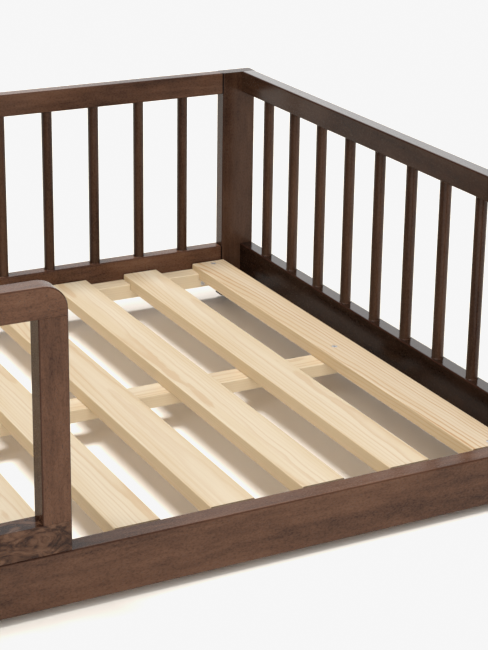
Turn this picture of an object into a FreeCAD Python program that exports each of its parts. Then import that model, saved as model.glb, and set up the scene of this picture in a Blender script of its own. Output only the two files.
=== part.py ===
import FreeCAD, Part
import os
import re

# Toddler floor bed: a low frame of flat posts, rails and round spindles, with a
# guard over part of the front and a slatted base for a mattress.
# Millimetres.  +X runs along the bed, +Y to the back panel, +Z up from the floor;
# the origin is on the floor, under the middle of the bed.

os.makedirs("parts", exist_ok=True)
doc = FreeCAD.newDocument("toddler_floor_bed")

# ---------------------------------------------------------------- driving sizes
SIZES = {
    # room for the mattress, between the inner faces of the frame
    "inner_length": 1405,
    "inner_width": 715,
    # frame boards
    "post_height": 333,
    "post_width": 50,
    "board_thickness": 20,
    "front_thickness": 24,
    "top_rail_height": 30,
    "bottom_rail_height": 50,
    "front_rail_height": 58,
    "spindle_clear": 226,
    "edge_round": 2,
    "glide_thickness": 8,
    "glide_diameter": 16,
    # round spindles and their blind holes
    "spindle_diameter": 14.5,
    "spindle_seat": 12,
    "spindle_fit": 0.1,
    "seat_gap": 0.4,
    "back_spindles": 19,
    "back_margin": 60,
    "end_spindles": 9,
    "end_margin": 63,
    "guard_spindles": 10,
    "guard_margin": 60,
    # guard over part of the front, and the way in beside it
    "entry_width": 537,
    "stile_width": 30,
    "guard_top_height": 31,
    "guard_bottom_height": 33,
    "guard_corner": 24,
    "joint_round": 0.4,
    # slatted base
    "slat_count": 13,
    "slat_width": 51,
    "slat_thickness": 17,
    "slat_margin": 28,
    "slat_end_gap": 3,
    "slat_drop": 1,
    "slat_round": 1.5,
    "ledger_width": 25,
    "ledger_height": 21,
    "ledger_end_gap": 1.5,
    "notch_depth": 9,
    "notch_fit": 0.4,
    "beam_width": 34,
    "beam_height": 17,
    "beam_setback": 366,
    "foot_size": 34,
    # dowel pins
    "pin_diameter": 6,
    "pin_length": 28,
    "pin_fit": 0.1,
    "pin_spread": 9.5,
    "wide_pin_spread": 14,
    # connector bolts and their barrel nuts
    "bolt_diameter": 6,
    "bolt_play": 0.3,
    "bolt_head": 14,
    "bolt_head_height": 2.5,
    "bolt_sink": 3,
    "hex_socket": 4,
    "nut_diameter": 10,
    "nut_length": 14,
    "nut_inset": 30,
    "nut_fit": 0.1,
    "bolt_past_nut": 9,
    "guard_bolt_inset": 40,
    # wood screws
    "screw_diameter": 4,
    "screw_head": 8,
    "screw_head_height": 2.6,
    "screw_fit": 0.1,
    "screw_sink": 0.4,
    "slat_screw_length": 24,
    "screw_outward": 4,
    "screw_inward": 5,
    "screw_forward": 8,
    "ledger_screw_bite": 14,
    "ledger_screw_shift": 19,
    "guard_screw_inset": 60,
    "guard_screw_sink": 25,
    "guard_screw_clear": 3,
    "foot_screw_length": 38,
    "cross_width": 1.2,
    "cross_length": 4.4,
    "cross_depth": 1.4,
}

sheet = doc.addObject("Spreadsheet::Sheet", "Sizes")
for row, (alias, number) in enumerate(SIZES.items(), start=1):
    sheet.set(f"A{row}", alias)
    sheet.set(f"B{row}", str(number))
    sheet.setAlias(f"B{row}", alias)

# Lengths and levels that follow from the sizes.
DERIVED = {
    "rail_length": "inner_length - 2 * (post_width - board_thickness)",
    "half_length": "inner_length / 2 + board_thickness",
    "whole_depth": "front_thickness + inner_width + board_thickness",
    "back_face": "whole_depth / 2 - board_thickness",
    "front_face": "front_thickness - whole_depth / 2",
    "frame_top": "glide_thickness + post_height",
    "top_rail_level": "frame_top - top_rail_height",
    "bottom_rail_level": "top_rail_level - spindle_clear - bottom_rail_height",
    "top_rail_middle": "post_height - top_rail_height / 2",
    "bottom_rail_middle": "bottom_rail_level - glide_thickness + bottom_rail_height / 2",
    "back_pitch": "(rail_length - 2 * back_margin) / (back_spindles - 1)",
    "end_pitch": "(inner_width - 2 * end_margin) / (end_spindles - 1)",
    "guard_length": "rail_length - entry_width",
    "guard_level": "glide_thickness + front_rail_height",
    "stile_level": "guard_level + guard_bottom_height",
    "stile_length": "frame_top - guard_top_height - stile_level",
    "guard_clear": "guard_length - 2 * (stile_width + guard_margin)",
    "guard_pitch": "guard_clear / (guard_spindles - 1)",
    "slat_level": "guard_level - slat_drop - slat_thickness",
    "slat_length": "inner_width - 2 * slat_end_gap",
    "slat_pitch": "(inner_length - 2 * slat_margin - slat_width) / (slat_count - 1)",
    "first_slat": "slat_margin + slat_width / 2",
    "ledger_level": "slat_level + notch_depth - ledger_height",
    "front_ledger_level": "slat_level - ledger_height",
    "ledger_length": "slat_pitch * (slat_count - 1) + slat_width - 2 * ledger_end_gap",
    "ledger_screw_level": "(ledger_level + slat_level) / 2",
    "beam_level": "slat_level - beam_height",
    "beam_middle": "back_face - beam_setback",
    "spindle_length": "spindle_clear + 2 * (spindle_seat - seat_gap)",
    "guard_spindle_length": "stile_length + 2 * (spindle_seat - seat_gap)",
    "bolt_reach": "nut_inset + bolt_past_nut",
    "bolt_length": "post_width - bolt_sink + bolt_reach",
    "guard_bolt_reach": "stile_width / 2 + bolt_past_nut",
    "guard_bolt_length": "post_width - bolt_sink + guard_bolt_reach",
    "guard_screw_bite": "guard_bottom_height - spindle_seat - guard_screw_clear",
    "guard_screw_length": "front_rail_height - guard_screw_sink + guard_screw_bite "
                          "+ screw_head_height",
    "ledger_screw_length": "ledger_width + ledger_screw_bite - screw_sink",
}
places = doc.addObject("App::VarSet", "Places")


def formula(text):
    """Turn alias names into references to the two holders of sizes."""
    def refer(match):
        name = match.group(0)
        return f"Places.{name}" if name in DERIVED else f"Sizes.{name}"
    return re.sub(r"[a-z]+(?:_[a-z]+)+", refer, str(text))


def bind(thing, prop, text):
    """Tie one property of a thing to the sizes."""
    thing.setExpression(prop, formula(text))


for alias in DERIVED:
    places.addProperty("App::PropertyFloat", alias, "Places")
for alias, text in DERIVED.items():
    bind(places, alias, text)
doc.recompute()

# ---------------------------------------------------------------- small helpers
TURNS = {
    "+z": FreeCAD.Rotation(),
    "-z": FreeCAD.Rotation(FreeCAD.Vector(1, 0, 0), 180),
    "+x": FreeCAD.Rotation(FreeCAD.Vector(0, 1, 0), 90),
    "-x": FreeCAD.Rotation(FreeCAD.Vector(0, 1, 0), -90),
    "+y": FreeCAD.Rotation(FreeCAD.Vector(1, 0, 0), -90),
    "-y": FreeCAD.Rotation(FreeCAD.Vector(1, 0, 0), 90),
}
AXES = {"x": FreeCAD.Vector(1, 0, 0), "y": FreeCAD.Vector(0, 1, 0), "z": FreeCAD.Vector(0, 0, 1)}
nodes = []


def put(thing, at, along="+z"):
    """Place a thing at bound coordinates with its own Z turned along an axis."""
    thing.Placement = FreeCAD.Placement(FreeCAD.Vector(), TURNS[along])
    for axis, text in zip("xyz", at):
        bind(thing, f"Placement.Base.{axis}", text)
    return thing


def new_body(label, at, along="+z", node=True):
    body = doc.addObject("PartDesign::Body", label)
    body.Label = label
    put(body, at, along)
    if node:
        nodes.append(body)
    return body


def feature(body, kind, at, along="+z", **sizes):
    """Add one PartDesign feature to a body, with bound sizes."""
    part = body.newObject(f"PartDesign::{kind}", f"{body.Name}_{kind}")
    for prop, text in sizes.items():
        bind(part, prop, text)
    return put(part, at, along)


def ease(body, radius, wanted):
    """Round the edges that the test picks from the body's shape so far."""
    doc.recompute()
    base = body.Tip
    names = [f"Edge{i}" for i, edge in enumerate(base.Shape.Edges, start=1) if wanted(edge)]
    fillet = body.newObject("PartDesign::Fillet", f"{body.Name}_ease")
    fillet.Base = (base, names)
    bind(fillet, "Radius", radius)
    doc.recompute()
    return fillet


def runs(edge, grain):
    ends = [vertex.Point for vertex in edge.Vertexes]
    return len(ends) == 2 and (ends[1] - ends[0]).cross(AXES[grain]).Length < 1e-6


def board(label, size, at, grain, radius="edge_round"):
    """A sawn board whose long edges are eased; its corner is its local origin."""
    body = new_body(label, at)
    feature(body, "AdditiveBox", (0, 0, 0), Length=size[0], Width=size[1], Height=size[2])
    ease(body, radius, lambda edge: runs(edge, grain))
    return body


def drill(body, radius, depth, at, along):
    """A blind hole from a point on the face, going into the board."""
    return feature(body, "SubtractiveCylinder", at, along, Radius=radius, Height=depth)


def repeat(body, original, axis, length, count):
    """Repeat the last cut in a row along one axis of the body."""
    pattern = body.newObject("PartDesign::LinearPattern", f"{body.Name}_row")
    pattern.Originals = [original]
    line = next(item for item in body.Origin.OriginFeatures if item.Role == f"{axis}_Axis")
    pattern.Direction = (line, [""])
    bind(pattern, "Length", length)
    bind(pattern, "Occurrences", count)
    body.Tip = pattern
    return pattern


def group(label, members):
    """One node that holds several separate, alike solids."""
    compound = doc.addObject("Part::Compound", label)
    compound.Label = label
    compound.Links = members
    nodes.append(compound)
    return compound


def rod(name, diameter, length, at, along):
    """A plain round bar, such as a spindle or a dowel pin."""
    bar = doc.addObject("Part::Cylinder", name)
    bind(bar, "Radius", f"({diameter}) / 2")
    bind(bar, "Height", length)
    return put(bar, at, along)


def count_of(alias):
    return int(sheet.get(alias))


# ---------------------------------------------------------------- frame boards
PIN_HOLE = "pin_diameter / 2 + pin_fit"
PIN_HALF = "pin_length / 2"
BOLT_HOLE = "bolt_diameter / 2 + bolt_play"
SPINDLE_HOLE = "spindle_diameter / 2 + spindle_fit"


def bolted_ends(body, height, thickness, spread):
    """Bolt, barrel nut and dowel holes in both ends of a long rail."""
    middle = f"{thickness} / 2"
    for start, along, inset in (("0", "+x", "nut_inset"),
                                ("rail_length", "-x", "rail_length - nut_inset")):
        drill(body, BOLT_HOLE, "bolt_reach", (start, middle, f"{height} / 2"), along)
        for sign in "+-":
            level = f"{height} / 2 {sign} {spread}"
            drill(body, PIN_HOLE, PIN_HALF, (start, middle, level), along)
        drill(body, "nut_diameter / 2 + nut_fit", f"{middle} + nut_length / 2 + seat_gap",
              (inset, thickness, f"{height} / 2"), "-y")


def long_rail(label, height, thickness, y, z, spread):
    body = board(label, ("rail_length", thickness, height), ("-rail_length / 2", y, z), "x")
    bolted_ends(body, height, thickness, spread)
    return body


def spindle_row(body, start, along, axis, length, count):
    hole = drill(body, SPINDLE_HOLE, "spindle_seat", start, along)
    repeat(body, hole, axis, length, count)


back_top_rail = long_rail("back_top_rail", "top_rail_height", "board_thickness",
                          "back_face", "top_rail_level", "pin_spread")
spindle_row(back_top_rail, ("back_margin", "board_thickness / 2", "0"), "+z",
            "X", "rail_length - 2 * back_margin", "back_spindles")

back_bottom_rail = long_rail("back_bottom_rail", "bottom_rail_height", "board_thickness",
                             "back_face", "bottom_rail_level", "wide_pin_spread")
spindle_row(back_bottom_rail, ("back_margin", "board_thickness / 2", "bottom_rail_height"), "-z",
            "X", "rail_length - 2 * back_margin", "back_spindles")

front_rail = long_rail("front_rail", "front_rail_height", "front_thickness",
                       "front_face - front_thickness", "glide_thickness", "wide_pin_spread")

for side, sign in (("right", 1), ("left", -1)):
    corner = "inner_length / 2" if sign > 0 else "-inner_length / 2 - board_thickness"
    for row, height, level, spread, seat, along in (
            ("top", "top_rail_height", "top_rail_level", "pin_spread", "0", "+z"),
            ("bottom", "bottom_rail_height", "bottom_rail_level", "wide_pin_spread",
             "bottom_rail_height", "-z")):
        rail = board(f"{side}_{row}_rail", ("board_thickness", "inner_width", height),
                     (corner, "front_face", level), "y")
        for start, way in (("0", "+y"), ("inner_width", "-y")):
            for offset in "+-":
                drill(rail, PIN_HOLE, PIN_HALF,
                      ("board_thickness / 2", start, f"{height} / 2 {offset} {spread}"), way)
        spindle_row(rail, ("board_thickness / 2", "end_margin", seat), along,
                    "Y", "inner_width - 2 * end_margin", "end_spindles")


# ---------------------------------------------------------------- corner posts
def corner_post(side, row):
    """A flat post: long rails bolt to its narrow side, end rails pin to its face."""
    sign = 1 if side == "right" else -1
    back = row == "back"
    thickness = "board_thickness" if back else "front_thickness"
    corner = "rail_length / 2" if sign > 0 else "-half_length"
    body = board(f"{side}_{row}_post", ("post_width", thickness, "post_height"),
                 (corner, "back_face" if back else "front_face - front_thickness",
                  "glide_thickness"), "z")
    inner, outer = ("0", "post_width") if sign > 0 else ("post_width", "0")
    inward, outward = ("-x", "+x") if sign > 0 else ("+x", "-x")
    levels = [("top_rail_middle", "pin_spread"), ("bottom_rail_middle", "wide_pin_spread")]
    for level, spread in levels if back else [("front_rail_height / 2", "wide_pin_spread")]:
        bolt_hole(body, outer, inward, thickness, level)
        for offset in "+-":
            drill(body, PIN_HOLE, PIN_HALF,
                  (inner, f"{thickness} / 2", f"{level} {offset} {spread}"), outward)
    rail_x = "post_width - board_thickness / 2" if sign > 0 else "board_thickness / 2"
    face, way = ("0", "+y") if back else (thickness, "-y")
    for level, spread in levels:
        for offset in "+-":
            drill(body, PIN_HOLE, PIN_HALF, (rail_x, face, f"{level} {offset} {spread}"), way)
    return body


def bolt_hole(body, outer, inward, thickness, level):
    """A through hole with a counterbore for the bolt's head on the outer side."""
    start = (outer, f"{thickness} / 2", level)
    drill(body, BOLT_HOLE, "post_width", start, inward)
    drill(body, "bolt_head / 2 + bolt_play", "bolt_sink", start, inward)


posts = {(side, row): corner_post(side, row)
         for row in ("back", "front") for side in ("right", "left")}
GUARD_BOLTS = ("stile_level - glide_thickness + guard_bolt_inset",
               "stile_level - glide_thickness + stile_length - guard_bolt_inset")
for level in GUARD_BOLTS:
    bolt_hole(posts["left", "front"], "0", "+x", "front_thickness", level)

# ---------------------------------------------------------------- guard
GUARD_X = "-rail_length / 2"
GUARD_Y = "front_face - front_thickness"
guard_size = ("guard_length", "front_thickness")

guard_top_rail = new_body("guard_top_rail", (GUARD_X, GUARD_Y, "frame_top - guard_top_height"))
feature(guard_top_rail, "AdditiveBox", (0, 0, 0), Length="guard_length",
        Width="front_thickness", Height="guard_top_height")


def outer_corner(edge):
    """The short upright-plane corner at the entry end, on top."""
    box = guard_top_rail.Tip.Shape.BoundBox
    point = edge.CenterOfMass
    return runs(edge, "y") and point.x > box.XMax - 1e-6 and point.z > box.ZMax - 1e-6


def ease_guard_rail(body, inner):
    """Round a guard rail off the post, and only just break the edges on its inner side."""
    doc.recompute()
    box = body.Tip.Shape.BoundBox
    inner_z, outer_z = sorted((box.ZMin, box.ZMax), reverse=inner == "top")

    def lies_at(edge, z):
        return max(abs(vertex.Point.z - z) for vertex in edge.Vertexes) < 1e-6

    def outside(edge):
        if runs(edge, "y"):
            return lies_at(edge, outer_z) and edge.CenterOfMass.x > box.XMax - 1e-6
        return edge.BoundBox.XMax > box.XMin + 1e-3 and not lies_at(edge, inner_z)

    ease(body, "edge_round", outside)
    ease(body, "joint_round", lambda edge: runs(edge, "x") and lies_at(edge, inner_z))


ease(guard_top_rail, "guard_corner", outer_corner)
ease_guard_rail(guard_top_rail, "bottom")

guard_bottom_rail = new_body("guard_bottom_rail", (GUARD_X, GUARD_Y, "guard_level"))
feature(guard_bottom_rail, "AdditiveBox", (0, 0, 0), Length="guard_length",
        Width="front_thickness", Height="guard_bottom_height")
ease_guard_rail(guard_bottom_rail, "top")

STILE_LEFTS = {"left": "0", "right": "guard_length - stile_width"}
STILE_PINS = ("stile_width / 4", "stile_width * 3 / 4")
for rail, seat, along in ((guard_top_rail, "0", "+z"),
                          (guard_bottom_rail, "guard_bottom_height", "-z")):
    for left in STILE_LEFTS.values():
        for pin in STILE_PINS:
            drill(rail, PIN_HOLE, PIN_HALF, (f"{left} + {pin}", "front_thickness / 2", seat), along)
    spindle_row(rail, ("stile_width + guard_margin", "front_thickness / 2", seat), along,
                "X", "guard_clear", "guard_spindles")

stiles = {}
for side, left in STILE_LEFTS.items():
    stile = board(f"guard_{side}_stile", ("stile_width", "front_thickness", "stile_length"),
                  (f"{GUARD_X} + {left}", GUARD_Y, "stile_level"), "z")
    for start, along in (("0", "+z"), ("stile_length", "-z")):
        for pin in STILE_PINS:
            drill(stile, PIN_HOLE, PIN_HALF, (pin, "front_thickness / 2", start), along)
    stiles[side] = stile

for level in ("guard_bolt_inset", "stile_length - guard_bolt_inset"):
    drill(stiles["left"], BOLT_HOLE, "guard_bolt_reach", ("0", "front_thickness / 2", level), "+x")
    drill(stiles["left"], "nut_diameter / 2 + nut_fit",
          "front_thickness / 2 + nut_length / 2 + seat_gap",
          ("stile_width / 2", "front_thickness", level), "-y")

GUARD_SCREWS = ("guard_screw_inset", "guard_length / 2", "guard_length - guard_screw_inset")
for x in GUARD_SCREWS:
    drill(front_rail, "screw_diameter / 2 + screw_fit", "front_rail_height",
          (x, "front_thickness / 2", "0"), "+z")
    drill(front_rail, "screw_head / 2 + screw_fit", "guard_screw_sink",
          (x, "front_thickness / 2", "0"), "+z")
    drill(guard_bottom_rail, "screw_diameter / 2 + screw_fit", "guard_screw_bite + seat_gap",
          (x, "front_thickness / 2", "0"), "+z")

# ---------------------------------------------------------------- spindles
SPINDLE_Z = "bottom_rail_level + bottom_rail_height - spindle_seat + seat_gap"
GUARD_SPINDLE_Z = "stile_level - spindle_seat + seat_gap"


def spindle(name, length, x, y, z):
    return rod(name, "spindle_diameter", length, (x, y, z), "+z")


def end_spindle(side, number):
    x = "(inner_length + board_thickness) / 2"
    x = x if side == "right" else f"-{x}"
    y = f"back_face - end_margin - {number - 1} * end_pitch"
    return spindle(f"{side}_spindle_{number}", "spindle_length", x, y, SPINDLE_Z)


for number in range(1, count_of("end_spindles") + 1):
    nodes.append(end_spindle("right", number))
group("left_spindles", [end_spindle("left", number)
                        for number in range(1, count_of("end_spindles") + 1)])
group("back_spindles_row", [
    spindle(f"back_spindle_{number}", "spindle_length",
            f"{number} * back_pitch + back_margin - rail_length / 2",
            "back_face + board_thickness / 2", SPINDLE_Z)
    for number in range(count_of("back_spindles"))])
group("guard_spindles_row", [
    spindle(f"guard_spindle_{number}", "guard_spindle_length",
            f"{GUARD_X} + stile_width + guard_margin + {number} * guard_pitch",
            f"{GUARD_Y} + front_thickness / 2", GUARD_SPINDLE_Z)
    for number in range(count_of("guard_spindles"))])

# ---------------------------------------------------------------- slatted base
SLATS = count_of("slat_count")
SCREWED_SLATS = (1, SLATS)
LEDGER_SCREW_SLATS = sorted({1, SLATS} | {round(1 + (SLATS - 1) * part / 4) for part in (1, 2, 3)})
LEDGER_X = "-ledger_length / 2"
LEDGERS = {"back": ("back_face - ledger_width", "ledger_level"),
           "front": ("front_face", "front_ledger_level")}
# where the slat screws stand: outwards from the slat's middle, and from its front end
SCREW_ROWS = {"front": ("screw_outward", "ledger_width / 2 - slat_end_gap"),
              "middle": ("-screw_inward",
                         "beam_middle - screw_forward - front_face - slat_end_gap"),
              "back": ("screw_outward", "slat_length + slat_end_gap - ledger_width / 2")}


def slat_x(number):
    """Centre of a slat; slat 1 lies at the right end of the bed."""
    return f"inner_length / 2 - first_slat - {number - 1} * slat_pitch"


def aside(number, row):
    """How far a slat screw stands to the right of its slat's middle."""
    return f"{'' if number == 1 else '-'}({SCREW_ROWS[row][0]})"


def ledger_screw_x(number):
    """Beside the slat's middle, so that the two kinds of screw don't meet."""
    towards_middle = "-" if number <= (SLATS + 1) / 2 else "+"
    return f"{slat_x(number)} {towards_middle} ledger_screw_shift"


for number in range(1, SLATS + 1):
    slat = board(f"slat_{number:02d}", ("slat_width", "slat_length", "slat_thickness"),
                 (f"{slat_x(number)} - slat_width / 2", "front_face + slat_end_gap", "slat_level"),
                 "y", "slat_round")
    if number in SCREWED_SLATS:
        for row, (_, y) in SCREW_ROWS.items():
            x = f"slat_width / 2 + {aside(number, row)}"
            drill(slat, "screw_diameter / 2 + screw_fit", "slat_thickness",
                  (x, y, "slat_thickness"), "-z")
            drill(slat, "screw_head / 2 + screw_fit", "screw_sink",
                  (x, y, "slat_thickness"), "-z")
            feature(slat, "SubtractiveCone", (x, y, "slat_thickness - screw_sink"),
                    "-z", Radius1="screw_head / 2 + screw_fit",
                    Radius2="screw_diameter / 2 + screw_fit", Height="screw_head_height")


def ledger(row):
    """A strip along the frame that carries the slats' ends; the back one is notched for them."""
    y, level = LEDGERS[row]
    body = board(f"{row}_ledger", ("ledger_length", "ledger_width", "ledger_height"),
                 (LEDGER_X, y, level), "x", "slat_round")
    if row == "back":
        last_slat = f"{slat_x(SLATS)} - ({LEDGER_X})"
        notch = feature(body, "SubtractiveBox",
                        (f"{last_slat} - slat_width / 2 - notch_fit", "-slat_round",
                         "ledger_height - notch_depth"),
                        Length="slat_width + 2 * notch_fit",
                        Width="ledger_width + 2 * slat_round",
                        Height="notch_depth + slat_round")
        repeat(body, notch, "X", "slat_pitch * (slat_count - 1)", "slat_count")
    for number in SCREWED_SLATS:
        drill(body, "screw_diameter / 2 + screw_fit", "ledger_height",
              (f"{slat_x(number)} + {aside(number, row)} - ({LEDGER_X})", "ledger_width / 2",
               "0"), "+z")
    face, way = ("0", "+y") if row == "back" else ("ledger_width", "-y")
    for number in LEDGER_SCREW_SLATS:
        start = (f"{ledger_screw_x(number)} - ({LEDGER_X})", face,
                 f"ledger_screw_level - {level}")
        drill(body, "screw_diameter / 2 + screw_fit", "ledger_width", start, way)
        drill(body, "screw_head / 2 + screw_fit", "screw_head_height + screw_sink", start, way)
    return body


for row in LEDGERS:
    ledger(row)

for number in LEDGER_SCREW_SLATS:
    x = f"{ledger_screw_x(number)} + rail_length / 2"
    drill(back_bottom_rail, "screw_diameter / 2 + screw_fit", "ledger_screw_bite + seat_gap",
          (x, "0", "ledger_screw_level - bottom_rail_level"), "+y")
    drill(front_rail, "screw_diameter / 2 + screw_fit", "ledger_screw_bite + seat_gap",
          (x, "front_thickness", "ledger_screw_level - glide_thickness"), "-y")

middle_beam = board("middle_beam", ("ledger_length", "beam_width", "beam_height"),
                    (LEDGER_X, "beam_middle - beam_width / 2", "beam_level"), "x", "slat_round")
for number in SCREWED_SLATS:
    drill(middle_beam, "screw_diameter / 2 + screw_fit", "beam_height",
          (f"{slat_x(number)} + {aside(number, 'middle')} - ({LEDGER_X})",
           "beam_width / 2 - screw_forward", "0"), "+z")
drill(middle_beam, "screw_diameter / 2 + screw_fit",
      "foot_screw_length + screw_sink - beam_level + seat_gap",
      ("ledger_length / 2", "beam_width / 2", "0"), "+z")

middle_foot = board("middle_foot", ("foot_size", "foot_size", "beam_level"),
                    ("-foot_size / 2", "beam_middle - foot_size / 2", "0"), "z", "slat_round")
foot_middle = ("foot_size / 2", "foot_size / 2", "0")
drill(middle_foot, "screw_diameter / 2 + screw_fit", "beam_level", foot_middle, "+z")
drill(middle_foot, "screw_head / 2 + screw_fit", "screw_head_height + screw_sink",
      foot_middle, "+z")


# ---------------------------------------------------------------- fasteners
def wood_screw(name, length, at, along):
    """Cross-slotted screw; its origin is the middle of the head, and it points down its own -Z."""
    body = new_body(name, at, along, node=False)
    feature(body, "AdditiveCone", (0, 0, "-screw_head_height"), Radius1="screw_diameter / 2",
            Radius2="screw_head / 2", Height="screw_head_height")
    feature(body, "AdditiveCylinder", (0, 0, f"-({length})"), Radius="screw_diameter / 2",
            Height=f"{length} - screw_head_height")
    for length_x, length_y in (("cross_length", "cross_width"), ("cross_width", "cross_length")):
        feature(body, "SubtractiveBox", (f"-{length_x} / 2", f"-{length_y} / 2", "-cross_depth"),
                Length=length_x, Width=length_y, Height="cross_depth + screw_sink")
    return body


def bolt(name, length, at, along):
    """Connector bolt with a hexagon socket, from the outer side of its counterbore inwards."""
    body = new_body(name, at, along, node=False)
    feature(body, "AdditiveCylinder", (0, 0, "-bolt_head_height"), Radius="bolt_head / 2",
            Height="bolt_head_height")
    feature(body, "AdditiveCylinder", (0, 0, f"-bolt_head_height - ({length})"),
            Radius="bolt_diameter / 2", Height=length)
    feature(body, "SubtractivePrism", (0, 0, "-bolt_head_height"), Circumradius="hex_socket / 2",
            Height="bolt_head_height + bolt_sink")
    return body


def barrel_nut(name, at):
    """Cross-drilled barrel nut that lies along Y, with a screwdriver slot at its open end."""
    body = new_body(name, at, "+y", node=False)
    feature(body, "AdditiveCylinder", (0, 0, "-nut_length / 2"), Radius="nut_diameter / 2",
            Height="nut_length")
    feature(body, "SubtractiveCylinder", ("-nut_diameter", 0, 0), "+x",
            Radius="bolt_diameter / 2 + nut_fit", Height="2 * nut_diameter")
    feature(body, "SubtractiveBox", ("-nut_diameter / 2", "-cross_width / 2",
                                     "nut_length / 2 - cross_depth"),
            Length="nut_diameter", Width="cross_width", Height="cross_depth")
    return body


BACK_Y = "back_face + board_thickness / 2"
FRONT_Y = "front_face - front_thickness / 2"
RAIL_BOLTS = ((BACK_Y, "top_rail_middle"), (BACK_Y, "bottom_rail_middle"),
              (FRONT_Y, "front_rail_height / 2"))
bolts, nuts = [], []
for sign, along in (("", "+x"), ("-", "-x")):
    for number, (y, level) in enumerate(RAIL_BOLTS):
        z = f"glide_thickness + {level}"
        head = "half_length - bolt_sink + bolt_head_height"
        bolts.append(bolt("bolt", "bolt_length", (f"{sign}({head})", y, z), along))
        nuts.append(barrel_nut("nut", (f"{sign}(rail_length / 2 - nut_inset)", y, z)))
group("panel_bolts", bolts)
group("barrel_nuts", nuts)

guard_bolts, guard_nuts = [], []
for level in GUARD_BOLTS:
    z = f"glide_thickness + {level}"
    head = "-(half_length - bolt_sink + bolt_head_height)"
    guard_bolts.append(bolt("guard_bolt", "guard_bolt_length", (head, FRONT_Y, z), "-x"))
    guard_nuts.append(barrel_nut("guard_nut", (f"{GUARD_X} + stile_width / 2", FRONT_Y, z)))
group("guard_bolts", guard_bolts)
group("guard_barrel_nuts", guard_nuts)

group("guard_screws", [
    wood_screw("guard_screw", "guard_screw_length",
               (f"{GUARD_X} + {x}", FRONT_Y,
                "glide_thickness + guard_screw_sink - screw_head_height"), "-z")
    for x in GUARD_SCREWS])
group("slat_screws", [
    wood_screw("slat_screw", "slat_screw_length",
               (f"{slat_x(number)} + {aside(number, row)}",
                f"front_face + slat_end_gap + {y}",
                "slat_level + slat_thickness - screw_sink"), "+z")
    for number in SCREWED_SLATS for row, (_, y) in SCREW_ROWS.items()])
group("ledger_screws", [
    wood_screw("ledger_screw", "ledger_screw_length",
               (ledger_screw_x(number), y, "ledger_screw_level"), along)
    for number in LEDGER_SCREW_SLATS
    for y, along in (("back_face - ledger_width + screw_sink", "-y"),
                     ("front_face + ledger_width - screw_sink", "+y"))])
foot_screw = wood_screw("foot_screw", "foot_screw_length",
                        ("0", "beam_middle", "screw_sink"), "-z")
nodes.append(foot_screw)


def dowel(name, x, y, z, axis):
    """A pin centred on its joint, a little shorter than its two holes."""
    centre = {"x": x, "y": y, "z": z}
    centre[axis] = f"{centre[axis]} - pin_length / 2 + seat_gap"
    return rod(name, "pin_diameter", "pin_length - 2 * seat_gap",
               (centre["x"], centre["y"], centre["z"]), f"+{axis}")


rail_pins, end_pins, guard_pins = [], [], []
for sign in ("", "-"):
    for y, level, spread in ((BACK_Y, "top_rail_middle", "pin_spread"),
                             (BACK_Y, "bottom_rail_middle", "wide_pin_spread"),
                             (FRONT_Y, "front_rail_height / 2", "wide_pin_spread")):
        for offset in "+-":
            rail_pins.append(dowel("rail_pin", f"{sign}(rail_length / 2)", y,
                                   f"glide_thickness + {level} {offset} {spread}", "x"))
    for y in ("back_face", "front_face"):
        for level, spread in (("top_rail_middle", "pin_spread"),
                              ("bottom_rail_middle", "wide_pin_spread")):
            for offset in "+-":
                end_pins.append(dowel("end_pin", f"{sign}((inner_length + board_thickness) / 2)",
                                      y, f"glide_thickness + {level} {offset} {spread}", "y"))
for left in STILE_LEFTS.values():
    for pin in STILE_PINS:
        for z in ("stile_level", "stile_level + stile_length"):
            guard_pins.append(dowel("guard_pin", f"{GUARD_X} + {left} + {pin}", FRONT_Y, z, "z"))
group("rail_dowels", rail_pins)
group("end_dowels", end_pins)
group("guard_dowels", guard_pins)

group("floor_glides", [
    rod("glide", "glide_diameter", "glide_thickness",
        (f"{sign}(half_length - post_width / 2)", y, "0"), "+z")
    for sign in ("", "-") for y in (BACK_Y, FRONT_Y)])

# ---------------------------------------------------------------- check and write
doc.recompute()
for thing in doc.Objects:
    if {"Invalid", "Error"} & set(thing.State):
        raise SystemExit(f"{thing.Label}: {thing.State}")
for node in nodes:
    shape = node.Shape
    if shape.isNull() or not shape.isValid() or not shape.Solids:
        raise SystemExit(f"{node.Label}: bad shape")
    shape.exportStep(os.path.join("parts", node.Label + ".step"))
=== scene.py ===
"""Finishes for a slatted toddler floor bed.

Stained hardwood, bare pine, turned beads and small hardware, in a plain pale studio."""

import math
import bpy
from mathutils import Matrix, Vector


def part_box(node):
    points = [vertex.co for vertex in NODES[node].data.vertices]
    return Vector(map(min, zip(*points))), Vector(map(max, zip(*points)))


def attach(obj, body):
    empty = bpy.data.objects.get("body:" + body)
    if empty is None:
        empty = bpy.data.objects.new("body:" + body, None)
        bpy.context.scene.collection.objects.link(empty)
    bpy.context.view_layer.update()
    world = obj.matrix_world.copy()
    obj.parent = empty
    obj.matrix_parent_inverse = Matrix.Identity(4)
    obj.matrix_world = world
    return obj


bl_info = {
    "name": "Toddler floor bed finishes",
    "version": (1, 0, 0),
    "blender": (4, 5, 0),
    "location": "View3D > Sidebar > Floor bed",
    "description": "Stained hardwood, bare pine, beads and hardware for a toddler floor bed",
    "category": "Object",
}

from collections import namedtuple

import bpy
from bpy.props import FloatProperty, FloatVectorProperty, IntProperty, PointerProperty
from mathutils import Vector

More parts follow.
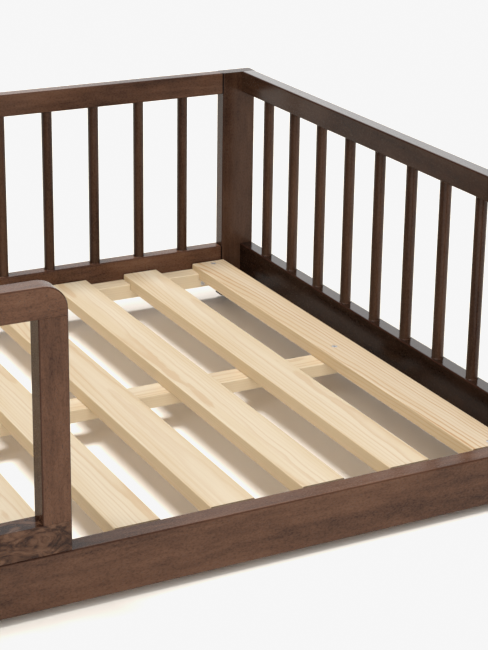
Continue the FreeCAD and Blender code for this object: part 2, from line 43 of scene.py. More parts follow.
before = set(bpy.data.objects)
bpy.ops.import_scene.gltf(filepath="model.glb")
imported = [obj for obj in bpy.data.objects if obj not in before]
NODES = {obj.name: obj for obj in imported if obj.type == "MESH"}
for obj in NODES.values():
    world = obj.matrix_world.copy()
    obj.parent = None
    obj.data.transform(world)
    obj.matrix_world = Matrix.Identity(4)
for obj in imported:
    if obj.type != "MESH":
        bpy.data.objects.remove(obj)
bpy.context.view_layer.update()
MM = 0.001

AXES = {"x": (0, 1, 2), "y": (1, 0, 2), "z": (2, 0, 1)}
POSTS = ("left_back_post", "left_front_post", "right_back_post", "right_front_post")
STILES = ("guard_left_stile", "guard_right_stile")
RIGHT_SPINDLES = tuple(f"right_spindle_{number}" for number in range(1, 10))
# each row's name, its nodes, how many spindles stand in it, and the axis that it runs along
SPINDLE_ROWS = (
    ("back", ("back_spindles_row",), 19, 0),
    ("guard", ("guard_spindles_row",), 10, 0),
    ("left", ("left_spindles",), 9, 1),
    ("right", RIGHT_SPINDLES, 9, 1),
)
SLATS = tuple(f"slat_{number:02}" for number in range(1, 14))
STEEL_PARTS = ("panel_bolts", "guard_bolts", "barrel_nuts", "guard_barrel_nuts",
               "slat_screws", "ledger_screws", "guard_screws", "foot_screw")
DOWELS = ("rail_dowels", "end_dowels", "guard_dowels")

BEAD_SECTION_SIDES = 8
SENSOR_WIDTH = 36.0
FARTHEST_VIEW = 100.0
COMBINED = 3        # the curve that acts on red, green and blue together

# the dark line painted at a long rail's ends, partly the shadow in the joint's gap and partly
# stain built up there: where it begins, and where it is at its darkest
JOINT_LINE = 2.4 * MM
JOINT_CORE = 1.2 * MM


# ---------------------------------------------------------------------------------------------
# Node trees
# ---------------------------------------------------------------------------------------------

class Field:
    """A number that varies over a surface. Each sum written in Python adds its Math node."""

    def __init__(self, tree, socket):
        self.tree = tree
        self.socket = socket

    def math(self, operation, *operands):
        return self.tree.node("ShaderNodeMath", {"operation": operation},
                              dict(enumerate(operands)))

    def __add__(self, other):
        return self.math("ADD", self, other)

    def __radd__(self, other):
        return self.math("ADD", other, self)

    def __sub__(self, other):
        return self.math("SUBTRACT", self, other)

    def __rsub__(self, other):
        return self.math("SUBTRACT", other, self)

    def __mul__(self, other):
        return self.math("MULTIPLY", self, other)

    def __rmul__(self, other):
        return self.math("MULTIPLY", other, self)

    def __truediv__(self, other):
        return self.math("DIVIDE", self, other)

    def __rtruediv__(self, other):
        return self.math("DIVIDE", other, self)

    def __abs__(self):
        return self.math("ABSOLUTE", self)

    def larger(self, other):
        """The larger of the two at each point."""
        return self.math("MAXIMUM", self, other)

    def fraction(self):
        return self.math("FRACT", self)

    def root(self):
        return self.math("SQRT", self)

    def between(self, low, high):
        """0 at low, 1 at high and smooth between them."""
        return self.tree.node("ShaderNodeMapRange", {"interpolation_type": "SMOOTHSTEP"},
                              {"Value": self, "From Min": low, "From Max": high})


class Tree:
    """A node tree while it is being laid."""

    def __init__(self, nodes_and_links):
        self.tree = nodes_and_links

    def node(self, kind, settings=None, sockets=None, out=0):
        """Adds a node: its settings first, then the values or links of its sockets."""
        made = self.tree.nodes.new(kind)
        for key, value in (settings or {}).items():
            if key == "stops":
                ramp = made.color_ramp.elements
                while len(ramp) < len(value):
                    ramp.new(0.5)
                for element, (position, colour) in zip(ramp, value):
                    element.position = position
                    element.color = (*colour, 1.0)
            else:
                setattr(made, key, value)
        for key, value in (sockets or {}).items():
            target = made.inputs[key]
            if isinstance(value, Field):
                self.tree.links.new(value.socket, target)
            elif isinstance(value, bpy.types.NodeSocket):
                self.tree.links.new(value, target)
            else:
                target.default_value = value
        return Field(self, made.outputs[out])

    def end(self, kind, socket, value):
        """Adds the output node that a finished tree ends in."""
        made = self.tree.nodes.new(kind)
        self.tree.links.new(value.socket, made.inputs[socket])


class Finish(Tree):
    """One material while its nodes are being laid, in the bed's own metres."""

    def __init__(self, name, centre=(0.0, 0.0, 0.0)):
        self.material = bpy.data.materials.new(name)
        self.material.use_nodes = True
        super().__init__(self.material.node_tree)
        self.tree.nodes.clear()
        place = self.node("ShaderNodeTexCoord", out="Object")
        self.place = self.node("ShaderNodeMapping", {"vector_type": "POINT"},
                               {"Vector": place, "Location": tuple(-c for c in centre)})

    def axes(self, vector, along="x"):
        """The three parts of a vector, the one along the grain first."""
        split = self.tree.nodes.new("ShaderNodeSeparateXYZ")
        self.tree.links.new(vector.socket, split.inputs[0])
        return [Field(self, split.outputs[index]) for index in AXES[along]]

    def normal(self, axis="x"):
        """The three parts of the surface's own direction, the one along the axis first."""
        return self.axes(self.node("ShaderNodeTexCoord", out="Normal"), axis)

    def vector(self, x, y, z):
        """One vector from its three parts."""
        return self.node("ShaderNodeCombineXYZ", None, {0: x, 1: y, 2: z})

    def noise(self, vector, scale=1.0, detail=2.0, roughness=0.5, distortion=0.0):
        """Soft random clouds from about 0.3 to 0.7, with so many cells to the metre."""
        return self.node("ShaderNodeTexNoise", {"noise_dimensions": "3D"},
                         {"Vector": vector, "Scale": scale, "Detail": detail,
                          "Roughness": roughness, "Distortion": distortion})

    def grain(self, place, along, across, **settings):
        """Noise with so many cells to the metre along the grain, and so many across it."""
        u, v, w = place
        return self.noise(self.vector(u * along, v * across, w * across), **settings)

    def mix(self, first, second, factor):
        """Two colours, the second laid over the first by the factor."""
        def colour(value):
            return (*value, 1.0) if isinstance(value, tuple) else value
        return self.node("ShaderNodeMix", {"data_type": "RGBA", "clamp_factor": True},
                         {0: factor, 6: colour(first), 7: colour(second)}, out=2)

    def ramp(self, value, stops):
        """A colour that runs through the stops, each a place and its colour."""
        return self.node("ShaderNodeValToRGB", {"stops": stops}, {"Fac": value})

    def edges(self):
        """1 on the rounded edges of a squared board, 0 on its faces."""
        x, y, z = (abs(part) for part in self.normal())
        return (1.0 - x.larger(y).larger(z)).between(0.01, 0.16)

    def end_grain(self, along):
        """1 on the faces that cut across the grain."""
        return abs(self.normal(along)[0]).between(0.6, 0.9)

    def facing(self, axis):
        """1 on the faces that look along one axis, smoothly less on rounded ones."""
        return abs(self.normal(axis)[0]).between(0.3, 1.0)

    def facing_up(self):
        """1 on the faces that look up, 0 on the upright ones."""
        return self.normal("z")[0].between(0.5, 0.9)

    def surface(self, colour, roughness, height, relief, coat=0.0, coat_roughness=0.2,
                ior=1.5, metallic=0.0):
        """Ends the material in one shader."""
        bump = self.node("ShaderNodeBump", None,
                         {"Height": height, "Distance": relief, "Strength": 1.0})
        shader = self.node("ShaderNodeBsdfPrincipled", None,
                           {"Base Color": colour, "Roughness": roughness, "Normal": bump,
                            "Coat Weight": coat, "Coat Roughness": coat_roughness,
                            "IOR": ior, "Metallic": metallic})
        self.end("ShaderNodeOutputMaterial", "Surface", shader)
        return self.material


class Repeat(Tree):
    """A Geometry Nodes tree while it is being laid, with named inputs for its sizes."""

    def __init__(self, name, inputs):
        self.group = bpy.data.node_groups.new(name, "GeometryNodeTree")
        super().__init__(self.group)
        for label, kind, value in inputs:
            socket = self.group.interface.new_socket(label, in_out="INPUT", socket_type=kind)
            socket.default_value = value
        self.group.interface.new_socket("Geometry", in_out="OUTPUT",
                                        socket_type="NodeSocketGeometry")
        self.entry = self.tree.nodes.new("NodeGroupInput")

    def given(self, label):
        """One of the tree's named inputs."""
        return Field(self, self.entry.outputs[label])

    def finish(self, geometry, material):
        """Ends the tree in plain geometry with its material."""
        whole = self.node("GeometryNodeRealizeInstances", None, {"Geometry": geometry})
        smooth = self.node("GeometryNodeSetShadeSmooth", None, {"Geometry": whole})
        dressed = self.node("GeometryNodeSetMaterial", None,
                            {"Geometry": smooth, "Material": material})
        self.end("NodeGroupOutput", "Geometry", dressed)

    def apply(self, name, values):
        """Runs the tree on an empty mesh and returns the plain mesh object that it makes."""
        piece = bpy.data.objects.new(name, bpy.data.meshes.new(name))
        bpy.context.scene.collection.objects.link(piece)
        modifier = piece.modifiers.new(self.group.name, "NODES")
        modifier.node_group = self.group
        for item in self.group.interface.items_tree:
            if item.in_out == "INPUT" and item.name in values:
                modifier[item.identifier] = values[item.name]
        bpy.context.view_layer.update()
        evaluated = piece.evaluated_get(bpy.context.evaluated_depsgraph_get())
        mesh = bpy.data.meshes.new_from_object(evaluated)
        piece.modifiers.clear()
        piece.data = mesh
        return piece


# ---------------------------------------------------------------------------------------------
# Finishes
# ---------------------------------------------------------------------------------------------

def stained(name, along, look, tone_and_painted_light, squared=True, figure=0.0, mottle=0.60,
            sides=0.0, gloss_on_top=0.0, index=None, end=None):
    """Hardwood under a brown stain and a satin lacquer, its grain along one axis.

    The factor after the look multiplies the stain's colours. It is partly each board's own tone
    and partly painted light and shade: the end rails are drawn darker as painted shade, and the
    back bottom rail paler as painted light. Figure is how far a burl pushes the grain aside,
    mottle how dark the pores are, and sides how much darker the faces that look along X, towards
    the bed's ends, are drawn, a painted shade. The end is how far from the bed's middle the rail
    meets its posts, where a dark line is painted, partly the shadow in the joint's gap and partly
    stain built up there."""
    wood = Finish(name)
    u, v, w = wood.axes(wood.place, along)
    if figure:
        # the grain swirls where the board was cut through a burl
        knot = wood.grain((u, v, w), along=16, across=26)
        v = v + (knot - 0.5) * figure
    place = (u, v, w)
    cloud = wood.grain(place, along=5, across=19, detail=3.0, roughness=0.6)
    streak = wood.grain(place, along=34, across=170, detail=3.0, roughness=0.6)
    fleck = wood.grain(place, along=330, across=620, roughness=0.7)
    rings = wood.grain(place, along=3, across=60, distortion=0.8)
    level = cloud * 0.34 + streak * 0.16 + fleck * 0.34 + rings * 0.16
    if figure:
        burl = wood.grain(place, along=34, across=60, detail=4.0, roughness=0.6,
                          distortion=1.6)
        level = level * 0.35 + burl.between(0.32, 0.68) * 0.30 + 0.175
    # each piece's colours are scaled by its factor: partly the board's own tone, partly painted
    # light and shade
    dark, middle, light = (tuple(c * tone_and_painted_light for c in colour) for colour in
                           (look.stain_dark, look.stain_middle, look.stain_light))
    colour = wood.ramp(level, ((0.38, dark), (0.50, middle), (0.62, light)))
    pores = fleck.between(0.56, 0.68)
    colour = wood.mix(colour, dark, pores * mottle)
    colour = wood.mix(colour, dark, wood.end_grain(along) * 0.5)
    # painted shade: the faces that look along X are drawn darker by the sides factor
    if sides:
        colour = wood.mix(colour, dark, wood.facing("x") * sides)
    # the eased edges are drawn darker and redder, more so along the streaks
    if squared:
        edge_darkening = wood.edges() * (0.35 + streak * 0.5)
        colour = wood.mix(colour, tuple(look.stain_edge), edge_darkening)
    # painted shadow: a near-black line at the rail's ends, partly the shadow in the joint's gap
    # and partly stain built up there
    if end:
        joint = abs(u).between(end - JOINT_LINE, end - JOINT_CORE)
        colour = wood.mix(colour, tuple(c * 0.15 for c in dark), joint)
    sheen = look.lacquer_roughness + (streak - 0.5) * 0.14 + pores * 0.12
    height = fleck * 0.4 - pores * 0.6
    coat = wood.facing_up() * gloss_on_top if gloss_on_top else 0.0
    return wood.surface(colour, sheen, height, relief=0.05 * MM, coat=coat,
                        coat_roughness=0.12, ior=index or look.lacquer_index)


# How a board was cut from its log: how deep under it and how far aside the pith runs, how it
# tilts and bows along the board, and how far apart, how strong and how warm the rings are.
Cut = namedtuple("Cut", "depth offset tilt bow spacing strength warmth")


def pine(name, along, look, centre, cut, side):
    """Bare planed pine: growth rings round a pith outside the board, and fine fibres.

    The pith leaves the board at the cut's tilt, and bows away from it beyond the middle."""
    wood = Finish(name, centre)
    place = wood.axes(wood.place, along)
    u, v, w = place
    drift = wood.grain(place, along=1.7, across=4, detail=1.0) - 0.5
    ripple = (wood.grain(place, along=12, across=40, detail=3.0) - 0.5) * (3 * MM)
    away = u.larger(0.0)
    aside = v - cut.offset + drift * (12 * MM) + ripple
    below = cut.depth + u * cut.tilt + away * away * cut.bow
    down = w + below + drift * (6 * MM) + ripple
    radius = (aside * aside + down * down).root()
    ring = (radius / cut.spacing).fraction()
    late = ring.between(0.50, 0.90) * (1.0 - ring.between(0.92, 1.0))
    # some years grew a stronger dark band than others
    year = wood.noise(wood.vector(radius * 95, u * 1.2, 0.0), detail=1.0)
    year = year.between(0.35, 0.68)
    fibre = wood.grain(place, along=16, across=1300)
    cloud = wood.grain(place, along=1.8, across=34, detail=3.0)
    lines = wood.grain(place, along=2.5, across=420).between(0.52, 0.68)
    band = late * (0.30 + year * 0.70) * cut.strength
    pale, cream, dark = (tuple(c) for c in (look.pine_pale, look.pine_cream, look.pine_band))
    colour = wood.mix(pale, cream, cloud.between(0.35, 0.65))
    colour = wood.mix(colour, dark, band)
    colour = wood.mix(colour, dark,
                      cut.warmth + fibre.between(0.4, 0.75) * 0.08 + lines * 0.12)
    colour = wood.mix(colour, dark, wood.end_grain(along) * 0.35)
    # the faces that look across the board take the side colour: a yellower orange on the slats,
    # and on the ledgers and the beam a paler colour, painted light that stands in for the light
    # those faces catch
    colour = wood.mix(colour, side, wood.facing("y" if along == "x" else "x") * 0.6)
    # painted highlight: the eased edges are drawn paler
    colour = wood.mix(colour, pale, wood.edges() * 0.35)
    rough = 0.56 + (fibre - 0.5) * 0.12 - band * 0.1
    height = band * 0.6 + fibre * 0.4
    return wood.surface(colour, rough, height, relief=0.08 * MM)


def beech(look):
    """Pale dowel wood with its short dark flecks."""
    wood = Finish("beech_dowels")
    place = wood.axes(wood.place, "x")
    flecks = wood.grain(place, along=160, across=900, detail=1.0).between(0.60, 0.70)
    tone = wood.grain(place, along=8, across=60, detail=3.0)
    colour = wood.mix(tuple(look.beech_colour), tuple(look.pine_band), tone * 0.5)
    colour = wood.mix(colour, tuple(look.stain_edge), flecks * 0.6)
    return wood.surface(colour, 0.5 + tone * 0.15, tone - flecks * 0.5, relief=0.1 * MM)


def zinc(look):
    """Bright zinc plate with the faint marks of tumbling and tightening."""
    plate = Finish("zinc_plate")
    x, y, z = plate.axes(plate.place)
    stain = plate.noise(plate.place, scale=420, detail=3.0)
    rubs = plate.noise(plate.vector(x * 900, y * 4200, z * 900))
    tint = tuple(look.zinc_colour)
    colour = plate.mix(tint, tuple(c * 0.75 for c in tint), stain.between(0.35, 0.75))
    rough = 0.40 + stain * 0.16 + rubs * 0.10
    return plate.surface(colour, rough, rubs + stain, relief=0.02 * MM, metallic=1.0)


def nylon(look):
    """Moulded brown glides, scuffed underneath."""
    plastic = Finish("nylon_glides")
    grain = plastic.noise(plastic.place, scale=1600)
    scuff = plastic.noise(plastic.place, scale=260, detail=3.0).between(0.5, 0.7)
    tint = tuple(look.glide_colour)
    colour = plastic.mix(tint, tuple(min(1.0, c * 2.4) for c in tint), scuff * 0.5)
    return plastic.surface(colour, 0.42 + scuff * 0.2, grain, relief=0.03 * MM)


def painted_floor(stage):
    """Seamless pale studio floor."""
    paint = Finish("studio_floor")
    tone = paint.noise(paint.place, scale=0.7)
    tint = tuple(stage.floor_colour)
    colour = paint.mix(tint, tuple(c * 0.985 for c in tint), tone)
    return paint.surface(colour, 0.85 + tone * 0.1, tone, relief=0.01 * MM)


def dress(node, material):
    """Gives a CAD node its finish."""
    slots = NODES[node].material_slots
    if not slots:
        NODES[node].data.materials.append(material)
    for slot in slots:
        slot.material = material


# ---------------------------------------------------------------------------------------------
# What a user would change
# ---------------------------------------------------------------------------------------------

def colour_property(name, description, default):
    return FloatVectorProperty(name=name, description=description, default=default,
                               subtype="COLOR", size=3, min=0.0, max=1.0)


class FloorBedLook(bpy.types.PropertyGroup):
    """Colours and small sizes of the bed's finishes."""

    stain_dark: colour_property("Stain, dark", "Stain where the grain took most of it",
                                (0.024, 0.010, 0.006))
    stain_middle: colour_property("Stain, middle", "Usual colour of the stained hardwood",
                                  (0.076, 0.035, 0.0195))
    stain_light: colour_property("Stain, light", "Stain on the palest streaks",
                                 (0.124, 0.064, 0.038))
    stain_edge: colour_property("Stain, edges", "Redder stain on eased edges",
                                (0.036, 0.013, 0.008))
    lacquer_roughness: FloatProperty(name="Lacquer roughness", subtype="FACTOR",
                                     description="How dull the satin lacquer is",
                                     default=0.20, min=0.05, max=1.0)
    lacquer_index: FloatProperty(name="Lacquer index", default=1.28, min=1.0, max=2.0,
                                 description="Index of refraction, which sets the sheen")
    pine_pale: colour_property("Pine, pale", "Palest early wood", (0.61, 0.515, 0.375))
    pine_cream: colour_property("Pine, cream", "Creamier early wood", (0.57, 0.455, 0.30))
    pine_band: colour_property("Pine, bands", "Late wood of the growth rings",
                               (0.40, 0.21, 0.08))
    slat_side: colour_property("Pine, slats' sides", "Yellower wood on the slats' side faces",
                               (0.57, 0.41, 0.215))
    # painted light: the ledgers' and the beam's faces that look across them are drawn in this
    # paler colour
    support_painted_light: colour_property("Pine, supports' sides",
                                  "Paler wood on the ledgers' and the beam's side faces",
                                  (0.86, 0.72, 0.50))
    beech_colour: colour_property("Beech", "Dowel pins", (0.62, 0.44, 0.27))
    zinc_colour: colour_property("Zinc", "Plated bolts, nuts and screws", (0.84, 0.84, 0.85))
    glide_colour: colour_property("Glides", "Nylon floor glides", (0.030, 0.020, 0.015))
    bead_radius: FloatProperty(name="Spindle bead", unit="LENGTH", subtype="DISTANCE",
                               description="Radius of the bead where a spindle meets a rail",
                               default=0.7 * MM, min=0.2 * MM, max=2.0 * MM)
    bead_sides: IntProperty(name="Bead sides", description="Sides round each spindle bead",
                            default=28, min=12, max=64)


class FloorBedStage(bpy.types.PropertyGroup):
    """Camera, light and floor."""

    camera_place: FloatVectorProperty(name="Camera place", unit="LENGTH", size=3,
                                      subtype="TRANSLATION",
                                      description="Where the camera stands",
                                      default=(-0.44257, -1.82080, 0.88415))
    camera_turn: FloatVectorProperty(name="Camera turn", unit="ROTATION", subtype="EULER",
                                     description="Which way the camera looks", size=3,
                                     default=(1.258469, -0.013968, -0.481353))
    lens: FloatProperty(name="Lens", unit="CAMERA", description="Focal length",
                        default=98.009, min=10.0)
    shift: FloatProperty(name="Upward shift", subtype="FACTOR", default=-0.13, min=-0.2,
                         max=0.2, description="Vertical shift that keeps the uprights upright")
    sun_height: FloatProperty(name="Sun height", unit="ROTATION", subtype="ANGLE",
                              description="Angle of the key light above the floor",
                              default=math.radians(73))
    sun_heading: FloatProperty(name="Sun heading", unit="ROTATION", subtype="ANGLE",
                               description="Compass direction the key light comes from, "
                                           "from +X towards +Y",
                               default=math.radians(174))
    sun_strength: FloatProperty(name="Sun strength", description="Strength of the key light",
                                default=3.1, min=0.0)
    sun_softness: FloatProperty(name="Sun softness", unit="ROTATION", subtype="ANGLE",
                                description="Apparent size of the key light",
                                default=math.radians(20))
    sky_strength: FloatProperty(name="Sky strength", default=1.65, min=0.0,
                                description="Strength of the white light from all round")
    sky_falloff: FloatProperty(name="Sky falloff", subtype="FACTOR", default=0.05, min=0.0,
                               max=1.0, description="Share of it left on the dim side")
    bright_side: FloatVectorProperty(name="Bright side", subtype="DIRECTION", size=3,
                                     default=(-0.48, -0.83, 0.28),
                                     description="Where most of the white light comes from")
    backdrop_side: FloatVectorProperty(name="Backdrop side", subtype="DIRECTION", size=3,
                                       default=(0.45, 0.83, 0.33),
                                       description="Where the bright backdrop stands")
    backdrop_strength: FloatProperty(name="Backdrop strength", default=1.1, min=0.0,
                                     description="Strength of the light from the backdrop")
    paper_white: FloatProperty(name="Paper white", subtype="FACTOR", default=0.925, min=0.5,
                               max=1.0, description="Brightness at which whites clip")
    floor_colour: colour_property("Floor", "Warm white studio floor", (0.96, 0.90, 0.82))
    floor_size: FloatProperty(name="Floor size", unit="LENGTH", subtype="DISTANCE",
                              description="Side of the square floor", default=60.0, min=4.0)


# ---------------------------------------------------------------------------------------------
# Pieces
# ---------------------------------------------------------------------------------------------

class FLOORBED_OT_posts(bpy.types.Operator):
    """Stains the four corner posts"""
    bl_idname = "floor_bed.posts"
    bl_label = "Corner posts"

    def execute(self, context):
        look = context.scene.floor_bed_look
        finish = stained("stained_upright", "z", look, tone_and_painted_light=0.9, sides=0.5)
        for node in POSTS:
            dress(node, finish)
        return {"FINISHED"}


class FLOORBED_OT_rails(bpy.types.Operator):
    """Stains the long rails and the end rails"""
    bl_idname = "floor_bed.rails"
    bl_label = "Rails"

    def execute(self, context):
        look = context.scene.floor_bed_look
        long_finish = stained("stained_along_x", "x", look, tone_and_painted_light=1.34,
                              end=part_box("back_top_rail")[1].x)
        # painted light: the back bottom rail is drawn paler than the other long rails
        back_finish = stained("stained_back_bottom", "x", look, tone_and_painted_light=1.75,
                              end=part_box("back_bottom_rail")[1].x)
        # painted shade: the end rails are drawn much darker, their bottom rails darkest
        top_finish = stained("stained_end_top", "y", look, tone_and_painted_light=0.44,
                             gloss_on_top=0.9, index=1.2)
        bottom_finish = stained("stained_end_bottom", "y", look, tone_and_painted_light=0.28,
                                gloss_on_top=0.8, index=1.12)
        dress("back_top_rail", long_finish)
        dress("front_rail", long_finish)
        dress("back_bottom_rail", back_finish)
        for side in ("left", "right"):
            dress(f"{side}_top_rail", top_finish)
            dress(f"{side}_bottom_rail", bottom_finish)
        return {"FINISHED"}


class FLOORBED_OT_guard(bpy.types.Operator):
    """Stains the guard's stiles, its top rail and its figured bottom rail"""
    bl_idname = "floor_bed.guard"
    bl_label = "Guard"

    def execute(self, context):
        look = context.scene.floor_bed_look
        stile_finish = stained("stained_stile", "z", look, tone_and_painted_light=1.42, mottle=0.85, sides=0.8)
        top_finish = stained("stained_guard_top", "x", look, tone_and_painted_light=1.60, mottle=0.85)
        bottom_finish = stained("stained_figured", "x", look, tone_and_painted_light=1.08, figure=30 * MM)
        for node in STILES:
            dress(node, stile_finish)
        dress("guard_top_rail", top_finish)
        dress("guard_bottom_rail", bottom_finish)
        return {"FINISHED"}


class FLOORBED_OT_spindles(bpy.types.Operator):
    """Stains the spindles and sets a fine bead where each one meets its rails"""
    bl_idname = "floor_bed.spindles"
    bl_label = "Spindles"

    def execute(self, context):
        look = context.scene.floor_bed_look
        finish = stained("stained_spindle", "z", look, tone_and_painted_light=0.86, squared=False, sides=0.75)
        beads = self.bead_tree(look, finish)
        for name, nodes, count, axis in SPINDLE_ROWS:
            for node in nodes:
                dress(node, finish)
            first, step = self.row(nodes, count, axis)
            lower, upper = (("guard_bottom_rail", "guard_top_rail") if name == "guard"
                            else ("back_bottom_rail", "back_top_rail"))
            for level, height in (("foot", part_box(lower)[1].z), ("head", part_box(upper)[0].z)):
                start = Vector((first.x, first.y, height))
                piece = beads.apply(f"{name}_spindle_{level}_beads",
                                    {"Count": count, "First": start, "Step": step})
                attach(piece, "root")
        return {"FINISHED"}

    @staticmethod
    def bead_tree(look, finish):
        """A row of rings, each with a fine round section."""
        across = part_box("right_spindle_1")
        radius = (across[1].x - across[0].x) / 2
        tree = Repeat("Spindle beads", (
            ("Count", "NodeSocketInt", 1),
            ("First", "NodeSocketVector", (0.0, 0.0, 0.0)),
            ("Step", "NodeSocketVector", (0.0, 0.0, 0.0)),
            ("Spindle Radius", "NodeSocketFloat", radius),
            ("Bead Radius", "NodeSocketFloat", look.bead_radius),
            ("Finish", "NodeSocketMaterial", finish)))
        line = tree.node("GeometryNodeMeshLine", {"mode": "OFFSET", "count_mode": "TOTAL"},
                         {"Count": tree.given("Count"), "Start Location": tree.given("First"),
                          "Offset": tree.given("Step")})
        around = tree.node("GeometryNodeCurvePrimitiveCircle", {"mode": "RADIUS"},
                           {"Resolution": look.bead_sides,
                            "Radius": tree.given("Spindle Radius")})
        section = tree.node("GeometryNodeCurvePrimitiveCircle", {"mode": "RADIUS"},
                            {"Resolution": BEAD_SECTION_SIDES,
                             "Radius": tree.given("Bead Radius")})
        bead = tree.node("GeometryNodeCurveToMesh", None,
                         {"Curve": around, "Profile Curve": section})
        row = tree.node("GeometryNodeInstanceOnPoints", None,
                        {"Points": line, "Instance": bead})
        tree.finish(row, tree.given("Finish"))
        return tree

    @staticmethod
    def row(nodes, count, axis):
        """The middle of a row's first spindle, and the step from each one to the next."""
        boxes = [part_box(node) for node in nodes]
        low = Vector(min(box[0][i] for box in boxes) for i in range(3))
        high = Vector(max(box[1][i] for box in boxes) for i in range(3))
        radius = (high[1 - axis] - low[1 - axis]) / 2
        step = Vector((0.0, 0.0, 0.0))
        step[axis] = (high[axis] - low[axis] - 2 * radius) / (count - 1)
        return Vector((low.x + radius, low.y + radius, 0.0)), step


class FLOORBED_OT_slats(bpy.types.Operator):
    """Gives every slat its own cut of bare pine"""
    bl_idname = "floor_bed.slats"
    bl_label = "Slats"

    CUTS = (
        Cut(0.030, -0.040, 0.016, 0.07, 0.0042, 1.00, 0.13),
        Cut(0.034, 0.014, 0.006, 0.04, 0.0030, 0.46, 0.02),
        Cut(0.030, -0.016, -0.007, 0.00, 0.0028, 0.38, 0.00),
        Cut(0.040, 0.004, 0.008, 0.05, 0.0032, 0.50, 0.05),
        Cut(0.028, 0.020, -0.006, 0.00, 0.0026, 0.38, 0.00),
        Cut(0.036, -0.006, 0.009, 0.06, 0.0030, 0.44, 0.03),
    )

    def execute(self, context):
        look = context.scene.floor_bed_look
        for number, node in enumerate(SLATS):
            low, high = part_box(node)
            cut = self.CUTS[number % len(self.CUTS)]
            if number >= len(self.CUTS):
                # the same boards again, turned over and end for end
                cut = cut._replace(tilt=-cut.tilt, offset=-cut.offset)
            dress(node, pine(f"pine_{node}", "y", look, (low + high) / 2, cut,
                             tuple(look.slat_side)))
        return {"FINISHED"}


class FLOORBED_OT_supports(bpy.types.Operator):
    """Gives the ledgers, the middle beam and its foot bare pine"""
    bl_idname = "floor_bed.supports"
    bl_label = "Slat supports"

    def execute(self, context):
        look = context.scene.floor_bed_look
        plain = Cut(depth=0.04, offset=0.0, tilt=0.006, bow=0.0, spacing=0.0026, strength=0.40,
                    warmth=0.0)
        for node, along, offset in (("back_ledger", "x", 0.02), ("front_ledger", "x", -0.015),
                                    ("middle_beam", "x", 0.01), ("middle_foot", "z", 0.02)):
            low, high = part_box(node)
            dress(node, pine(f"pine_{node}", along, look, (low + high) / 2,
                             plain._replace(offset=offset), tuple(look.support_painted_light)))
        return {"FINISHED"}


class FLOORBED_OT_hardware(bpy.types.Operator):
    """Finishes the bolts, nuts, screws, dowel pins and glides"""
    bl_idname = "floor_bed.hardware"
    bl_label = "Hardware"

    def execute(self, context):
        look = context.scene.floor_bed_look
        plate = zinc(look)
        for node in STEEL_PARTS:
            dress(node, plate)
        pins = beech(look)
        for node in DOWELS:
            dress(node, pins)
        dress("floor_glides", nylon(look))
        return {"FINISHED"}


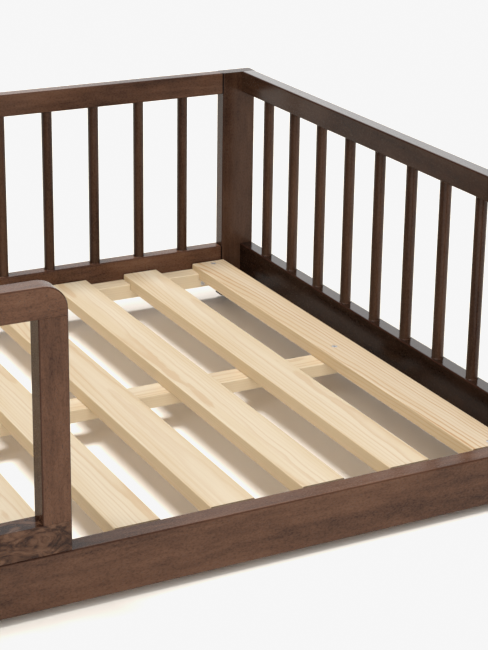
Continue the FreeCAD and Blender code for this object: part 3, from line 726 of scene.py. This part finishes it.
class FLOORBED_OT_stage(bpy.types.Operator):
    """Lays the floor and sets the light and the camera"""
    bl_idname = "floor_bed.stage"
    bl_label = "Studio"

    def execute(self, context):
        stage = context.scene.floor_bed_stage
        self.floor(context, stage)
        self.light(context, stage)
        context.scene.world = self.sky(stage)
        self.camera(context, stage)
        self.paper(context, stage)
        return {"FINISHED"}

    @staticmethod
    def floor(context, stage):
        half = stage.floor_size / 2
        corners = [(-half, -half, 0.0), (half, -half, 0.0),
                   (half, half, 0.0), (-half, half, 0.0)]
        mesh = bpy.data.meshes.new("studio_floor")
        mesh.from_pydata(corners, [], [(0, 1, 2, 3)])
        mesh.materials.append(painted_floor(stage))
        floor = bpy.data.objects.new("studio_floor", mesh)
        context.scene.collection.objects.link(floor)

    @staticmethod
    def light(context, stage):
        lamp = bpy.data.lights.new("key_light", "SUN")
        lamp.energy = stage.sun_strength
        lamp.angle = stage.sun_softness
        sun = bpy.data.objects.new("key_light", lamp)
        sun.rotation_euler = (math.pi / 2 - stage.sun_height, 0.0,
                              stage.sun_heading + math.pi / 2)
        context.scene.collection.objects.link(sun)

    @staticmethod
    def sky(stage):
        """White light from large boxes on one side, a little from all round, and a backdrop."""
        world = bpy.data.worlds.new("white_studio")
        world.use_nodes = True
        sky = Tree(world.node_tree)
        sky.tree.nodes.clear()
        outward = sky.node("ShaderNodeTexCoord", out="Generated")

        def towards(side):
            """How nearly each direction looks to one side: 1 straight at it, 0 across it."""
            return sky.node("ShaderNodeVectorMath", {"operation": "DOT_PRODUCT"},
                            {0: outward, 1: tuple(side)}, out="Value")

        # the boxes are dimmer near the floor
        height = towards((0.0, 0.0, 1.0)).between(0.0, 0.4) * 0.8 + 0.2
        boxes = towards(stage.bright_side).between(0.1, 1.0) * height
        backdrop = towards(stage.backdrop_side).between(0.82, 0.97)
        strength = ((boxes * (1.0 - stage.sky_falloff) + stage.sky_falloff)
                    * stage.sky_strength + backdrop * stage.backdrop_strength)
        background = sky.node("ShaderNodeBackground", None,
                              {"Color": (1.0, 1.0, 1.0, 1.0), "Strength": strength})
        sky.end("ShaderNodeOutputWorld", "Surface", background)
        return world

    @staticmethod
    def camera(context, stage):
        camera = bpy.data.cameras.new("camera")
        camera.lens = stage.lens
        camera.sensor_fit = "AUTO"
        camera.sensor_width = SENSOR_WIDTH
        camera.shift_y = stage.shift
        camera.clip_end = FARTHEST_VIEW
        viewer = bpy.data.objects.new("camera", camera)
        viewer.location = stage.camera_place
        viewer.rotation_euler = stage.camera_turn
        context.scene.collection.objects.link(viewer)
        context.scene.camera = viewer

    @staticmethod
    def paper(context, stage):
        """Clips the brightest whites to the pale grey of the paper."""
        view = context.scene.view_settings
        view.view_transform = "Standard"
        view.use_curve_mapping = True
        curve = view.curve_mapping
        curve.extend = "HORIZONTAL"
        combined = curve.curves[COMBINED]
        combined.points[0].location = (0.0, 0.0)
        combined.points[-1].location = (stage.paper_white, stage.paper_white)
        curve.update()


class FLOORBED_PT_panel(bpy.types.Panel):
    """Lists the bed's finishes and what makes them"""
    bl_label = "Floor bed"
    bl_idname = "FLOORBED_PT_panel"
    bl_space_type = "VIEW_3D"
    bl_region_type = "UI"
    bl_category = "Floor bed"

    def draw(self, context):
        layout = self.layout
        for group in (context.scene.floor_bed_look, context.scene.floor_bed_stage):
            box = layout.box()
            for field in group.__annotations__:
                box.prop(group, field)
        for operator in PIECES:
            layout.operator(operator.bl_idname)


PIECES = (FLOORBED_OT_posts, FLOORBED_OT_rails, FLOORBED_OT_guard, FLOORBED_OT_spindles,
          FLOORBED_OT_slats, FLOORBED_OT_supports, FLOORBED_OT_hardware, FLOORBED_OT_stage)
CLASSES = (FloorBedLook, FloorBedStage) + PIECES + (FLOORBED_PT_panel,)


def register():
    for cls in CLASSES:
        bpy.utils.register_class(cls)
    bpy.types.Scene.floor_bed_look = PointerProperty(type=FloorBedLook)
    bpy.types.Scene.floor_bed_stage = PointerProperty(type=FloorBedStage)


def unregister():
    del bpy.types.Scene.floor_bed_stage
    del bpy.types.Scene.floor_bed_look
    for cls in reversed(CLASSES):
        bpy.utils.unregister_class(cls)


def main():
    register()
    bpy.ops.floor_bed.posts()
    bpy.ops.floor_bed.rails()
    bpy.ops.floor_bed.guard()
    bpy.ops.floor_bed.spindles()
    bpy.ops.floor_bed.slats()
    bpy.ops.floor_bed.supports()
    bpy.ops.floor_bed.hardware()
    bpy.ops.floor_bed.stage()


if __name__ == "__main__":
    main()
